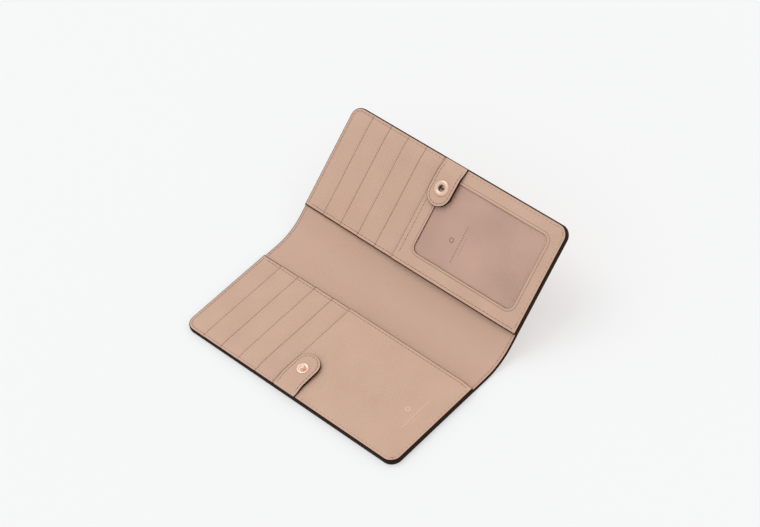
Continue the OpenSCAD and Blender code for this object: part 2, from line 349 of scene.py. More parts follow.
def rounded_quad(bm, x0, x1, v0, v1, radii, segments=8):
    """A flat face with its corners rounded. radii starts at (x0, v0) and goes round by (x1, v0)."""
    made = bmesh.ops.create_grid(bm, x_segments=1, y_segments=1, size=0.5)
    corners = {}
    for vert in made["verts"]:
        right, far = vert.co.x > 0, vert.co.y > 0
        vert.co = Vector((x1 if right else x0, v1 if far else v0, 0))
        corners[vert] = radii[(2 if far else 1) if right else (3 if far else 0)]
    for vert, r in corners.items():
        if r > 0:
            bmesh.ops.bevel(bm, geom=[vert], offset=r, offset_type="OFFSET", affect="VERTICES",
                            segments=segments, profile=0.5, material=-1)


def bridge_outlines(bm):
    """Joins the flat faces in bm, nested one in the next, into a ring with a hole."""
    loops = [face.edges[:] for face in bm.faces]
    bmesh.ops.delete(bm, geom=bm.faces[:], context="FACES_ONLY")
    for outer, inner in zip(loops, loops[1:]):
        bmesh.ops.bridge_loops(bm, edges=outer + inner)


def slice_up(bm, axis, cuts):
    """Cuts the flat faces across at each place in cuts."""
    normal = Vector((1, 0, 0)) if axis == "x" else Vector((0, 1, 0))
    for cut in cuts:
        geom = bm.verts[:] + bm.edges[:] + bm.faces[:]
        bmesh.ops.bisect_plane(bm, geom=geom, plane_co=normal * cut, plane_no=normal, dist=WELD)


def steps(start, end, size):
    """Even places between start and end, both left out."""
    count = max(round((end - start) / size), 1)
    return [start + (end - start) * i / count for i in range(1, count)]


def punch(bm, middle, radius, reach):
    """Cuts a round hole in the flat faces, and fills in the faces round it within reach."""
    near = [face for face in bm.faces if (face.calc_center_median() - middle).length < reach]
    rims = {edge for face in near for edge in face.edges
            if any(other not in near for other in edge.link_faces)}
    bmesh.ops.delete(bm, geom=near, context="FACES")
    made = bmesh.ops.create_circle(bm, cap_ends=False, segments=32, radius=radius,
                                   matrix=Matrix.Translation(middle))["verts"]
    hole = {edge for vert in made for edge in vert.link_edges}
    bmesh.ops.triangle_fill(bm, edges=list(rims | hole), use_beauty=True)


def thicken(bm, z0, t, rim, plain_v=None):
    """Gives the flat faces a thickness from z0 up, with rounded rims, and a plain end at plain_v."""
    bmesh.ops.translate(bm, verts=bm.verts[:], vec=(0, 0, z0))
    made = bmesh.ops.extrude_face_region(bm, geom=bm.faces[:])["geom"]
    tops = [g for g in made if isinstance(g, bmesh.types.BMVert)]
    bmesh.ops.translate(bm, verts=tops, vec=(0, 0, t))
    bmesh.ops.recalc_face_normals(bm, faces=bm.faces[:])
    if rim > 0:
        def is_wall(face):
            return abs(face.normal.z) < 0.5
        def is_plain(edge):
            return plain_v is not None and all(abs(vert.co.y - plain_v) < WELD for vert in edge.verts)
        walls = [e for e in bm.edges if len(e.link_faces) == 2
                 and is_wall(e.link_faces[0]) != is_wall(e.link_faces[1])]
        rims = [e for e in walls if not is_plain(e)]
        for edge in set(walls) - set(rims):
            edge.smooth = False
        bmesh.ops.bevel(bm, geom=rims, offset=rim, offset_type="OFFSET", affect="EDGES",
                        segments=3, profile=0.5, material=-1)


def grain_map(bm, pattern):
    """Writes each corner's place on the flat leather, in millimetres, as its UV."""
    layer = bm.loops.layers.uv.new("grain")
    for face in bm.faces:
        for loop in face.loops:
            x, s = pattern(loop.vert.co)
            loop[layer].uv = (x / MM, s / MM)


def set_down(verts, surface):
    for vert in verts:
        x, v, h = vert.co
        vert.co = surface(x, v, h)


def lay(bm, half, height):
    """Maps the grain of a flat piece and bends the piece onto its half. height is over the lining."""
    grain_map(bm, lambda co: (co.x, along(half, co.y)))
    set_down(bm.verts, lambda x, v, h: place(x, along(half, v), height(x, v, h)))


def finish_mesh(bm, name, finishes, faceted=False, weighted=True):
    """Turns a bmesh into a finished object with its place in its mesh."""
    bmesh.ops.remove_doubles(bm, verts=bm.verts[:], dist=WELD)
    bmesh.ops.recalc_face_normals(bm, faces=bm.faces[:])
    if bm.calc_volume(signed=True) < 0:
        bmesh.ops.reverse_faces(bm, faces=bm.faces[:])
    for face in bm.faces:
        face.smooth = not faceted
    mesh = bpy.data.meshes.new(name)
    bm.to_mesh(mesh)
    bm.free()
    for finish in finishes:
        mesh.materials.append(finish_named(finish))
    piece = bpy.data.objects.new(name, mesh)
    bpy.context.scene.collection.objects.link(piece)
    if weighted:
        modifier = piece.modifiers.new("weighted", "WEIGHTED_NORMAL")
        modifier.keep_sharp = True
        modifier.weight = 100
    return piece


def fold_blend(piece, half):
    """Works out the ends of that half's crease for a piece that runs into the spine, then bakes the piece's
    transform.
    """
    crease = along(half, 0)
    start = place(0, crease, 0)
    direction = (place(0, crease + MM, 0) - start).normalized() if half.side > 0 else Vector((0, 1, 0))
    ends = [start - direction * BEND_MARGIN, start + direction * BEND_MARGIN]
    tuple(ends[0])
    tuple(ends[1])
    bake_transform(piece)


def tab_blend(piece, half):
    """Works out the ends of a tab's root bend, then bakes the piece's transform."""
    start = tab_point(half, TAB_X, 0, 0)
    end = tab_point(half, TAB_X, ROOT_BEND, 0)
    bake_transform(piece)


def half_sheet(half, name, z0, t, finish, height):
    """A layer that runs from the outer edge past the crease to the middle of the spine."""
    bm = bmesh.new()
    inner = -SPINE_L / 2
    r = CORNER_R - EDGE_T
    rounded_quad(bm, -HALF_L + EDGE_T, HALF_L - EDGE_T, inner, DEPTH - EDGE_T, (0, 0, r, r))
    slice_up(bm, "x", steps(-HALF_L, HALF_L, COVER_CELL))
    slice_up(bm, "v", steps(FLAP, DEPTH, COVER_CELL) + steps(inner, FLAP, SPINE_CELL))
    slice_up(bm, "v", [inner + near for near in NEAR_MIDDLE])
    thicken(bm, z0, t, shape().rim_r, inner)
    lay(bm, half, lambda x, v, h: h + height(x, v))
    piece = finish_mesh(bm, name, [finish])
    fold_blend(piece, half)
    return piece


def pocket_sheet(half, name, x0, h0, t, finish, mouth=None, holes=()):
    """A pocket layer from x0 to the right edge, with its top at h0 plus t."""
    bm = bmesh.new()
    r = CORNER_R - EDGE_T
    square = SQUARE_R if holes else 0
    left_r = r if x0 < -HALF_L + r else square
    rounded_quad(bm, x0, HALF_L - EDGE_T, FLAP, DEPTH - EDGE_T, (square, square, r, left_r))
    for margin in holes:
        window_quad(bm, margin)
    if holes:
        bridge_outlines(bm)
    slice_up(bm, "x", [x0 + near for near in NEAR_RIM] + steps(x0 + NEAR_RIM[-1], HALF_L, CELL))
    slice_up(bm, "v", [FLAP + near for near in NEAR_RIM] + steps(FLAP + NEAR_RIM[-1], DEPTH, CELL))
    thicken(bm, h0, t, shape().rim_r)
    rim = shape().rim_r
    # Faces at a slot's mouth, the pockets' inner edge and the window's opening take the mouth paint: edge
    # paint and painted shade.
    for face in bm.faces:
        middle = face.calc_center_median()
        at_mouth = mouth is not None and middle.x < x0 + rim * 0.9
        away = window_distance(middle.x, middle.y) if holes else FLAP
        if at_mouth or middle.y < FLAP + rim * 0.9 or away < rim * 0.5:
            face.material_index = 1
        # The crease round the window takes the pressed colour: painted shade in the groove.
        if abs(away - GROOVE_OUT) < GROOVE_SHADE:
            face.material_index = 2

    def height(x, v, h):
        lift = lip_height(x, v, mouth) if mouth is not None else 0
        if holes and h > h0 + t / 2:
            away = window_distance(x, v)
            lift += WELT_H * (1 - smooth((away - WELT_W) / WELT_FALL))
            lift -= GROOVE_H * math.exp(-((away - GROOVE_OUT) / GROOVE_FALL) ** 2)
        return layer_height(half, x, v, h) + lift
    lay(bm, half, height)
    piece = finish_mesh(bm, name, [finish, "mouth_paint_and_shade", "pressed_and_shaded_leather"])
    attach(piece, f"{half.name}_half")
    return piece


def window_quad(bm, margin):
    r = WINDOW_R + margin
    rounded_quad(bm, WINDOW_X - margin, WINDOW_X + WINDOW_W + margin,
                 WINDOW_V - margin, WINDOW_V + WINDOW_H + margin, (r, r, r, r))


def window_distance(x, v):
    """Distance out from the edge of the window's opening."""
    dx = abs(x - WINDOW_X - WINDOW_W / 2) - WINDOW_W / 2 + WINDOW_R
    dv = abs(v - WINDOW_V - WINDOW_H / 2) - WINDOW_H / 2 + WINDOW_R
    return math.hypot(max(dx, 0), max(dv, 0)) + min(max(dx, dv), 0) - WINDOW_R


def rim_at(d, inset, from_v):
    """A place and its outward direction, a length d along a half's left, outer and right edges."""
    r, x, y = CORNER_R - inset, HALF_L - CORNER_R, DEPTH - CORNER_R
    side, arc = y - from_v, math.pi / 2 * r
    if d < side:
        return -HALF_L + inset, from_v + d, -1, 0
    d -= side
    if d < arc:
        a = d / r
        return -x - r * math.cos(a), y + r * math.sin(a), -math.cos(a), math.sin(a)
    d -= arc
    if d < 2 * x:
        return -x + d, DEPTH - inset, 0, 1
    d -= 2 * x
    if d < arc:
        a = d / r
        return x + r * math.sin(a), y + r * math.cos(a), math.sin(a), math.cos(a)
    return HALF_L - inset, y - (d - arc), 1, 0


def rim_length(inset, from_v):
    r, x, y = CORNER_R - inset, HALF_L - CORNER_R, DEPTH - CORNER_R
    return 2 * (y - from_v) + math.pi * r + 2 * x


def tab_rim_at(d, inset):
    """A place and its outward direction, a length d round a tab from one side of its root to the other."""
    r = TAB_W / 2 - inset
    side, arc = TAB_L - TAB_W / 2, math.pi * r
    if d < side:
        return -r, d, -1, 0
    d -= side
    if d < arc:
        a = d / r
        return -r * math.cos(a), side + r * math.sin(a), -math.cos(a), math.sin(a)
    return r, side - (d - arc), 1, 0


def tab_rim_length(inset):
    return 2 * (TAB_L - TAB_W / 2) + math.pi * (TAB_W / 2 - inset)


def bead(name, total, step, at, section, finish):
    """Edge paint: a bead with a D section, swept along the places that at gives."""
    count = round(total / step)
    bm = bmesh.new()
    bmesh.ops.create_grid(bm, x_segments=count, y_segments=BEAD_AROUND, size=0.5)
    for vert in bm.verts:
        d = (vert.co.x + 0.5) * total
        turn = (vert.co.y + 0.5) * math.pi * BEAD_AROUND / (BEAD_AROUND - 1)
        if turn > math.pi + 1e-6:
            turn = 0
        out = max(math.sin(turn), 0) ** 0.55
        up = math.copysign(abs(math.cos(turn)) ** 0.7, math.cos(turn))
        vert.co = section(at(d), out, up)
    bmesh.ops.remove_doubles(bm, verts=bm.verts[:], dist=WELD)
    ends = [e for e in bm.edges if e.is_boundary]
    bmesh.ops.holes_fill(bm, edges=ends, sides=0)
    return finish_mesh(bm, name, [finish], weighted=False)


def stitch_row(bm, spots, surface):
    """Stitches on the places and directions in spots, each followed by a dark dot of painted shade for its
    needle hole.
    """
    pitch, w = shape().stitch_pitch, shape().stitch_w
    needle = Matrix.Translation((pitch / 2, 0, 0)) @ Matrix.Diagonal((*NEEDLE_HOLE, 1))
    thread = Matrix.Diagonal((pitch * STITCH_SHARE, w / 2, STITCH_H, 1))
    for x, v, direction in spots:
        turn = Matrix.Rotation(math.atan2(direction[1], direction[0]), 4, "Z")
        spot = Matrix.Translation((x, v, 0)) @ turn
        made = bmesh.ops.create_uvsphere(bm, u_segments=8, v_segments=4, radius=1,
                                         matrix=spot @ thread)
        set_down(made["verts"], surface)
        made = bmesh.ops.create_uvsphere(bm, u_segments=6, v_segments=3, radius=1, matrix=spot @ needle)
        # The hole dots take the second finish: painted shade of a needle hole.
        for face in {f for vert in made["verts"] for f in vert.link_faces}:
            face.material_index = 1
        set_down(made["verts"], surface)


def row_spots(at, start, end, pitch):
    """Places and directions at even steps along a route."""
    count = max(round((end - start) / pitch), 1)
    spots = []
    for i in range(count):
        d = start + (end - start) * (i + 0.5) / count
        x, v, nx, nv = at(d)
        spots.append((x, v, (-nv, nx)))
    return spots


def straight(x0, v0, x1, v1):
    """A straight route for row_spots."""
    length = math.hypot(x1 - x0, v1 - v0)
    dx, dv = (x1 - x0) / length, (v1 - v0) / length
    return lambda d: (x0 + dx * d, v0 + dv * d, dv, -dx), length


# ---- materials

def maths(operation, swapped=False):
    def method(self, other):
        pair = (other, self) if swapped else (self, other)
        return self.finish.node("ShaderNodeMath", {"operation": operation}, dict(enumerate(pair)))
    return method


class Socket:
    """An output of a shader node, so that shader maths reads as plain arithmetic."""

    def __init__(self, finish, link):
        self.finish, self.link = finish, link

    __add__ = __radd__ = maths("ADD")
    __mul__ = __rmul__ = maths("MULTIPLY")
    __sub__ = maths("SUBTRACT")
    __rsub__ = maths("SUBTRACT", swapped=True)
    __pow__ = maths("POWER")


class Finish:
    """A material under construction."""

    def __init__(self, name):
        self.material = bpy.data.materials.new(name)
        self.material.use_nodes = True
        self.tree = self.material.node_tree
        self.tree.nodes.clear()

    def node(self, kind, settings=None, inputs=None, output=0):
        made = self.tree.nodes.new(kind)
        for name, value in (settings or {}).items():
            if name == "stops":
                self.set_stops(made.color_ramp.elements, value)
            else:
                setattr(made, name, value)
        for name, value in (inputs or {}).items():
            if isinstance(value, Socket):
                self.tree.links.new(value.link, made.inputs[name])
            else:
                made.inputs[name].default_value = value
        return Socket(self, made.outputs[output])

    @staticmethod
    def set_stops(elements, stops):
        while len(elements) < len(stops):
            elements.new(0.5)
        for element, (position, value) in zip(elements, stops):
            element.position = position
            element.color = value

    def mix(self, factor, first, second):
        """A blend of two colours."""
        return self.node("ShaderNodeMix", {"data_type": "RGBA"}, {0: factor, 6: first, 7: second}, 2)

    def surface(self, **inputs):
        """Ends the material in a Principled shader."""
        named = {name.replace("_", " "): value for name, value in inputs.items()}
        shader = self.node("ShaderNodeBsdfPrincipled", None, named)
        out = self.tree.nodes.new("ShaderNodeOutputMaterial")
        self.tree.links.new(shader.link, out.inputs["Surface"])
        return self.material

    def grain_place(self):
        """Place on the flat leather, in millimetres."""
        return self.node("ShaderNodeUVMap", {"uv_map": "grain"})

    def object_place(self):
        return self.node("ShaderNodeTexCoord", None, None, 3)

    def noise(self, where, scale, detail=2, roughness=0.5):
        return self.node("ShaderNodeTexNoise", None,
                         {"Vector": where, "Scale": scale, "Detail": detail, "Roughness": roughness})

    def waves(self, where, period, direction, distortion):
        """Soft parallel lines, one in each period."""
        return self.node("ShaderNodeTexWave", {"bands_direction": direction},
                         {"Vector": where, "Scale": math.pi / 10 / period, "Distortion": distortion,
                          "Detail": 2, "Detail Scale": 1.3, "Detail Roughness": 0.5})

    def bump(self, height, strength, distance):
        return self.node("ShaderNodeBump", None,
                         {"Height": height, "Strength": strength, "Distance": distance})


def shade(base, share):
    """A colour made lighter or darker."""
    return [min(c * share, 1) for c in base[:3]] + [1]


def grained(name, base, deep, grain, roughness, on_surface=True):
    """Leather with a pressed crosshatch grain that follows the flat leather."""
    f = Finish(name)
    if on_surface:
        where = f.grain_place()
    else:
        where = f.node("ShaderNodeVectorMath", {"operation": "SCALE"}, {0: f.object_place(), "Scale": 1 / MM})
    lengthways = f.waves(where, GRAIN_PITCH, "X", 2.0)
    crossways = f.waves(where, GRAIN_PITCH, "Y", 2.0)
    fine = f.noise(where, 1.2, 3, 0.6)
    patches = f.noise(where, 0.045, 2)
    mottle = f.noise(where, 0.018, 3, 0.55)
    cross = lengthways * crossways
    height = cross * 0.7 + fine * 0.5
    depth = (1 - cross) * (patches * 0.9 + 0.1) * grain
    tone = f.mix(depth, base, deep)
    warm = [base[0] * 0.95, base[1] * 0.90, base[2] * 0.88, 1]
    tone = f.mix((mottle ** 2) * 1.1, tone, warm)
    rough = roughness + 0.18 * fine - 0.06 * cross
    normal = f.bump(height, min(1.3 * grain, 1), 0.14 * MM)
    return f.surface(Base_Color=tone, Roughness=rough, Normal=normal, Specular_IOR_Level=0.35)


def paint(name, base):
    """Satin paint on a cut edge, with faint runs in it."""
    f = Finish(name)
    where = f.object_place()
    streaks = f.noise(where, 900, 3)
    tone = f.mix(streaks, base, shade(base, 1.9))
    normal = f.bump(f.noise(where, 500, 2), 0.25, 0.05 * MM)
    return f.surface(Base_Color=tone, Roughness=0.5 + 0.2 * streaks, Normal=normal,
                     Specular_IOR_Level=0.06)


def thread_finish():
    f = Finish("waxed_thread")
    where = f.object_place()
    twist = f.noise(where, 2600, 2)
    base = colours().thread
    tone = f.mix(twist, shade(base, 0.75), shade(base, 1.2))
    return f.surface(Base_Color=tone, Roughness=0.55 + 0.15 * twist, Normal=f.bump(twist, 0.6, 0.06 * MM))


# Dark dots for the needle holes: painted shade, a little darker in random spots.
def needle_hole_shade():
    f = Finish("needle_hole_shade")
    spread = f.noise(f.object_place(), 1500, 2)
    base = colours().hole
    return f.surface(Base_Color=f.mix(spread, base, shade(base, 0.5)), Roughness=0.8 + 0.1 * spread)


def polished(name, base, roughness):
    """Plated metal with faint handling marks."""
    f = Finish(name)
    where = f.object_place()
    marks = f.noise(where, 900, 4, 0.65)
    cloud = f.noise(where, 160, 2)
    tone = f.mix(cloud, base, shade(base, 0.9))
    rough = roughness + 0.14 * marks
    return f.surface(Base_Color=tone, Roughness=rough, Normal=f.bump(marks, 0.08, 0.03 * MM), Metallic=1.0)


def clear_film():
    f = Finish("clear_film")
    where = f.grain_place()
    # The cloud makes the film lighter and darker and more or less opaque: painted reflection on the film.
    cloud = f.noise(where, 0.03, 2, 0.4)
    haze = f.noise(where, 0.4, 3)
    base = colours().film
    tone = f.mix(cloud, shade(base, 1.1), shade(base, 0.6))
    return f.surface(Base_Color=tone, Roughness=0.13 + 0.06 * haze, Alpha=0.10 + 0.16 * cloud,
                     Coat_Weight=0.1, Coat_Roughness=0.12)


def board_finish():
    f = Finish("pressed_board")
    where = f.object_place()
    fibre = f.noise(where, 420, 4, 0.7)
    base = colours().board
    tone = f.mix(fibre, base, shade(base, 0.7))
    return f.surface(Base_Color=tone, Roughness=0.8 + 0.1 * fibre, Normal=f.bump(fibre, 0.3, 0.1 * MM))


def floor_finish():
    f = Finish("floor")
    where = f.object_place()
    even = f.noise(where, 3, 2)
    base = colours().floor
    return f.surface(Base_Color=f.mix(even, base, shade(base, 0.995)), Roughness=0.9 + 0.02 * even,
                     Emission_Color=(1, 1, 1, 1), Emission_Strength=bpy.context.scene.wallet_stage.glow,
                     Specular_IOR_Level=0.1)


def finish_named(name):
    """The finish of that name, made the first time it is asked for."""
    if name in bpy.data.materials:
        return bpy.data.materials[name]
    c = colours()
    makers = {
        "grained_leather": lambda: grained(name, c.leather, c.leather_deep, 1.0, 0.46),
        "smooth_leather": lambda: grained(name, c.lining, c.leather_deep, 0.35, 0.44),
        "backing_leather": lambda: grained(name, c.backing, c.leather_deep, 0.12, 0.45),
        "pressed_and_shaded_leather": lambda: grained(name, c.pressed, c.hole, 0.3, 0.5),
        "welt_leather": lambda: grained(name, c.leather_deep, c.hole, 0.3, 0.5, False),
        "dark_edge_paint": lambda: paint(name, c.edge),
        # Mouth paint: edge paint and painted shade in one dark colour.
        "mouth_paint_and_shade": lambda: paint(name, c.mouth),
        "waxed_thread": thread_finish,
        "needle_hole_shade": needle_hole_shade,
        "rose_gold": lambda: polished(name, c.metal, 0.3),
        # Metal painted dark: the shade inside the socket.
        "socket_shade_metal": lambda: polished(name, c.well, 0.45),
        "bright_steel": lambda: polished(name, c.steel, 0.3),
        "stamped_foil": lambda: polished(name, c.foil, 0.5),
        "clear_film": clear_film,
        "pressed_board": board_finish,
        "floor": floor_finish,
    }
    return makers[name]()


def repaint(node, finish):
    """Gives a CAD node that stays a detailed finish."""
    slots = frame["nodes"][node].data.materials
    slots.clear()
    slots.append(finish_named(finish))


# ---- operators

class WALLET_OT_cover(Operator):
    """Makes the outer leather of both halves, down to the middle of the spine"""
    bl_idname = "wallet.cover"
    bl_label = "Outer leather"

    def execute(self, context):
        for half in (LOWER, UPPER):
            piece = half_sheet(half, f"{half.name}_cover", -UNDER + PLAY, COVER_T,
                               "grained_leather", lambda x, v: 0)
            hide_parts(f"{half.name}_outer_leather", "spine_leather")
        return {"FINISHED"}


class WALLET_OT_lining(Operator):
    """Makes the smooth lining of both halves, down to the middle of the spine"""
    bl_idname = "wallet.lining"
    bl_label = "Lining"

    def execute(self, context):
        for half in (LOWER, UPPER):
            def lie(x, v, half=half):
                return ripple(half, x, v) * smooth((v + SPINE_L / 2) / FLAP) * 0.6
            piece = half_sheet(half, f"{half.name}_lining_sheet", -LINING_T, LINING_T,
                               "smooth_leather", lie)
            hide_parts(f"{half.name}_lining", "spine_lining")
        return {"FINISHED"}


class WALLET_OT_pockets(Operator):
    """Makes the back of each set of pockets and the four card slot leaves on it"""
    bl_idname = "wallet.pockets"
    bl_label = "Card pockets"

    def execute(self, context):
        for half in (LOWER, UPPER):
            piece = pocket_sheet(half, f"{half.name}_pocket_panel", -HALF_L + EDGE_T,
                                 BACK_TOP - BACK_T, BACK_T, "grained_leather")
            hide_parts(f"{half.name}_pocket_back")
            for k, (mouth, top) in enumerate(zip(MOUTHS, LEAF_TOPS), 1):
                t = LEAF_T + PLAY
                piece = pocket_sheet(half, f"{half.name}_slot_leaf_{k}", mouth, top - t, t,
                                     "grained_leather", mouth)
                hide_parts(f"{half.name}_card_leaf_{k}")
        return {"FINISHED"}


class WALLET_OT_front_panel(Operator):
    """Makes the plain front panel of the lower half"""
    bl_idname = "wallet.front_panel"
    bl_label = "Front panel"

    def execute(self, context):
        piece = pocket_sheet(LOWER, "lower_front", FRONT_X, STACK - FRONT_T, FRONT_T,
                             "grained_leather", FRONT_X)
        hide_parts("lower_front_panel")
        return {"FINISHED"}


class WALLET_OT_window(Operator):
    """Makes the window pocket of the upper half: its frame, film, backing and pressed mark"""
    bl_idname = "wallet.window"
    bl_label = "Window pocket"

    def execute(self, context):
        low = STACK - FRONT_T
        backing = pocket_sheet(UPPER, "window_back_leather", FRONT_X + MM, low, BACKING_T,
                               "backing_leather", FRONT_X)
        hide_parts("window_backing")
        border = pocket_sheet(UPPER, "window_border", FRONT_X, STACK - FRAME_T, FRAME_T,
                              "grained_leather", FRONT_X, FRAME_LINES)
        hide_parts("window_frame")
        bm = bmesh.new()
        window_quad(bm, FILM_LAP)
        slice_up(bm, "x", steps(WINDOW_X, WINDOW_X + WINDOW_W, CELL))
        slice_up(bm, "v", steps(WINDOW_V, WINDOW_V + WINDOW_H, CELL))
        thicken(bm, STACK - FRAME_T + FILM_LIFT, FILM_T, 0)
        lay(bm, UPPER, lambda x, v, h: layer_height(UPPER, x, v, h))
        film = finish_mesh(bm, "window_film_sheet", ["clear_film"])
        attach(film, "upper_half")
        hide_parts("window_film")
        mark = mark_mesh(UPPER, "pressed_mark", WINDOW_X + PRESSED_X, WINDOW_V + PRESSED_V,
                         STACK - FRAME_T, PRESSED_T, "pressed_and_shaded_leather")
        return {"FINISHED"}


def mark_mesh(half, name, x, v, h, t, finish):
    """A plain ring and two rows of short bars, as thin as foil."""
    bm = bmesh.new()
    outer = bmesh.ops.create_circle(bm, cap_ends=False, segments=24, radius=MARK_RING[0])["verts"]
    inner = bmesh.ops.create_circle(bm, cap_ends=False, segments=24, radius=MARK_RING[1])["verts"]
    edges = list({e for vert in outer + inner for e in vert.link_edges})
    bmesh.ops.bridge_loops(bm, edges=edges)
    bmesh.ops.translate(bm, verts=bm.verts[:], vec=(x, v, 0))
    for out, length, count, width in MARK_ROWS:
        pitch = length / count
        for i in range(count):
            mid = v - length / 2 + pitch * (i + 0.5)
            rounded_quad(bm, x + out - width / 2, x + out + width / 2,
                         mid - pitch * 0.2, mid + pitch * 0.2, (min(width, pitch * 0.4) * 0.45,) * 4, 3)
    thicken(bm, h, t, 0)
    lay(bm, half, lambda x, v, h: layer_height(half, x, v, h))
    piece = finish_mesh(bm, name, [finish], faceted=True, weighted=False)
    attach(piece, f"{half.name}_half")
    return piece


class WALLET_OT_foil_mark(Operator):
    """Makes the generic foil mark on the front panel"""
    bl_idname = "wallet.foil_mark"
    bl_label = "Foil mark"

    def execute(self, context):
        low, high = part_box("foil_mark")
        piece = mark_mesh(LOWER, "foil_stamp", low.x + FOIL_IN, LOWER_CREASE.y - (low.y + high.y) / 2,
                          STACK, FOIL_T, "stamped_foil")
        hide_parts("foil_mark")
        return {"FINISHED"}


class WALLET_OT_painted_edges(Operator):
    """Makes the dark painted edge round each half, down to the middle of the spine"""
    bl_idname = "wallet.painted_edges"
    bl_label = "Painted edges"

    def execute(self, context):
        start = -SPINE_L / 2
        for half in (LOWER, UPPER):
            def section(spot, out, up, half=half):
                x, v, nx, nv = spot
                lap = shape().bead_w
                top = top_height(half, x - nx * lap, v - nv * lap) + BEAD_OVER
                low = -UNDER + BEAD_OVER
                h = (top + low) / 2 + up * (top - low) / 2
                away = (out - 1) * lap
                return place(x + nx * away, along(half, v + nv * away), h)
            self.inner_edge(half)
            piece = bead(f"{half.name}_painted_edge", rim_length(0, start), BEAD_STEP,
                         lambda d: rim_at(d, 0, start), section, "dark_edge_paint")
            fold_blend(piece, half)
            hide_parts(f"{half.name}_edge_coat", "spine_edge_coat")
        return {"FINISHED"}

    def inner_edge(self, half):
        """The painted inner edge of the pockets, which stands a little proud of them: partly edge paint,
        partly painted shade under the edge.
        """
        lap = shape().bead_w
        proud = lap * INNER_PROUD[half.name]
        end = HALF_L - PLAY

        def section(spot, out, up):
            x, v, _, _ = spot
            top = top_height(half, x, v) + INNER_OVER
            low = layer_height(half, x, v, BACK_TOP - BACK_T)
            h = (top + low) / 2 + up * (top - low) / 2
            return place(x, along(half, v + lap * INNER_LAP - out * (proud + lap * INNER_LAP)), h)
        piece = bead(f"{half.name}_inner_edge", 2 * end, INNER_STEP,
                     lambda d: (-end + d, FLAP, 0, -1), section, "mouth_paint_and_shade")
        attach(piece, f"{half.name}_half")


class WALLET_OT_stitching(Operator):
    """Sews both halves: round the pockets, along their inner edges, down the spine's ends and outside"""
    bl_idname = "wallet.stitching"
    bl_label = "Stitching"

    def execute(self, context):
        for half in (LOWER, UPPER):
            self.sew(half)
        return {"FINISHED"}

    def sew(self, half):
        inset, pitch = shape().stitch_in, shape().stitch_pitch
        start = -SPINE_L / 2
        total = rim_length(inset, start)

        def on_top(x, v, h):
            return place(x, along(half, v), top_height(half, x, v) + h)

        def outside(x, v, h):
            return place(x, along(half, v), -UNDER + PLAY - h / 2)

        def clear_of_tab(spot):
            return spot[1] < DEPTH - 3 * MM or abs(spot[0] - TAB_X) > TAB_W / 2 + 0.4 * MM

        around = row_spots(lambda d: rim_at(d, inset, start), 0, total, pitch)
        top = [spot for spot in around if clear_of_tab(spot) and abs(spot[1] - FLAP) > MM]
        inner = FLAP + inset
        route, length = straight(-HALF_L + inset + pitch / 2, inner, HALF_L - inset - pitch / 2, inner)
        top += row_spots(route, 0, length, pitch)
        if half.side > 0:
            beside = FRONT_X + WINDOW_STITCH_IN
            route, length = straight(beside, FLAP + inset + pitch, beside, DEPTH - inset - pitch)
            top += row_spots(route, 0, length, pitch)
        bm = bmesh.new()
        stitch_row(bm, top, on_top)
        stitch_row(bm, around, outside)
        piece = finish_mesh(bm, f"{half.name}_stitches", SEWN, weighted=False)
        fold_blend(piece, half)
        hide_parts(f"{half.name}_seam_thread")


class WALLET_OT_tabs(Operator):
    """Makes the two snap tabs: their leathers, painted edges and stitches"""
    bl_idname = "wallet.tabs"
    bl_label = "Snap tabs"

    def execute(self, context):
        for half in (LOWER, UPPER):
            for name, z0 in (("back", TAB_CLEAR), ("top", TAB_CLEAR + TAB_LEATHER_T)):
                self.leather(half, name, z0)
            self.edge(half)
            self.thread(half)
        return {"FINISHED"}

    def leather(self, half, name, z0):
        r = TAB_W / 2 - EDGE_T
        bm = bmesh.new()
        rounded_quad(bm, -r, r, 0.2 * MM, TAB_L - EDGE_T, (0, 0, r * 0.995, r * 0.995), 14)
        slice_up(bm, "x", steps(-r, r, 3 * MM))
        slice_up(bm, "v", steps(0, TAB_L, 1.5 * MM))
        if half.side > 0 and name == "top":
            punch(bm, Vector((0, SNAP_INSET, 0)), BARREL_R, 2 * BARREL_R)
        thicken(bm, z0, TAB_LEATHER_T, shape().rim_r)
        grain_map(bm, lambda co: (co.x, co.y + TAB_GRAIN))
        set_down(bm.verts, lambda x, u, t: tab_point(half, TAB_X + x, u, t))
        piece = finish_mesh(bm, f"{half.name}_tab_{name}", ["grained_leather"])
        tab_blend(piece, half)
        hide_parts(f"{half.name}_tab_{name}_leather")

    def edge(self, half):
        low = TAB_CLEAR + 0.05 * MM
        high = TAB_TOP - 0.12 * MM

        def section(spot, out, up):
            x, u, nx, nu = spot
            away = (out - 1) * shape().bead_w
            t = (low + high) / 2 + up * (high - low) / 2
            return tab_point(half, TAB_X + x + nx * away, u + nu * away, t)
        piece = bead(f"{half.name}_tab_painted_edge", tab_rim_length(0), TAB_STEP,
                     lambda d: tab_rim_at(d, 0), section, "dark_edge_paint")
        tab_blend(piece, half)
        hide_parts(f"{half.name}_tab_edge_coat")

    def thread(self, half):
        def on_tab(x, u, h):
            return tab_point(half, TAB_X + x, u, TAB_TOP + h)
        end = tab_rim_length(TAB_STITCH_IN) - TAB_STITCH_START
        spots = row_spots(lambda d: tab_rim_at(d, TAB_STITCH_IN), TAB_STITCH_START, end, TAB_STITCH_PITCH)
        bm = bmesh.new()
        stitch_row(bm, spots, on_tab)
        piece = finish_mesh(bm, f"{half.name}_tab_stitches", SEWN, weighted=False)
        tab_blend(piece, half)
        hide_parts(f"{half.name}_tab_thread")


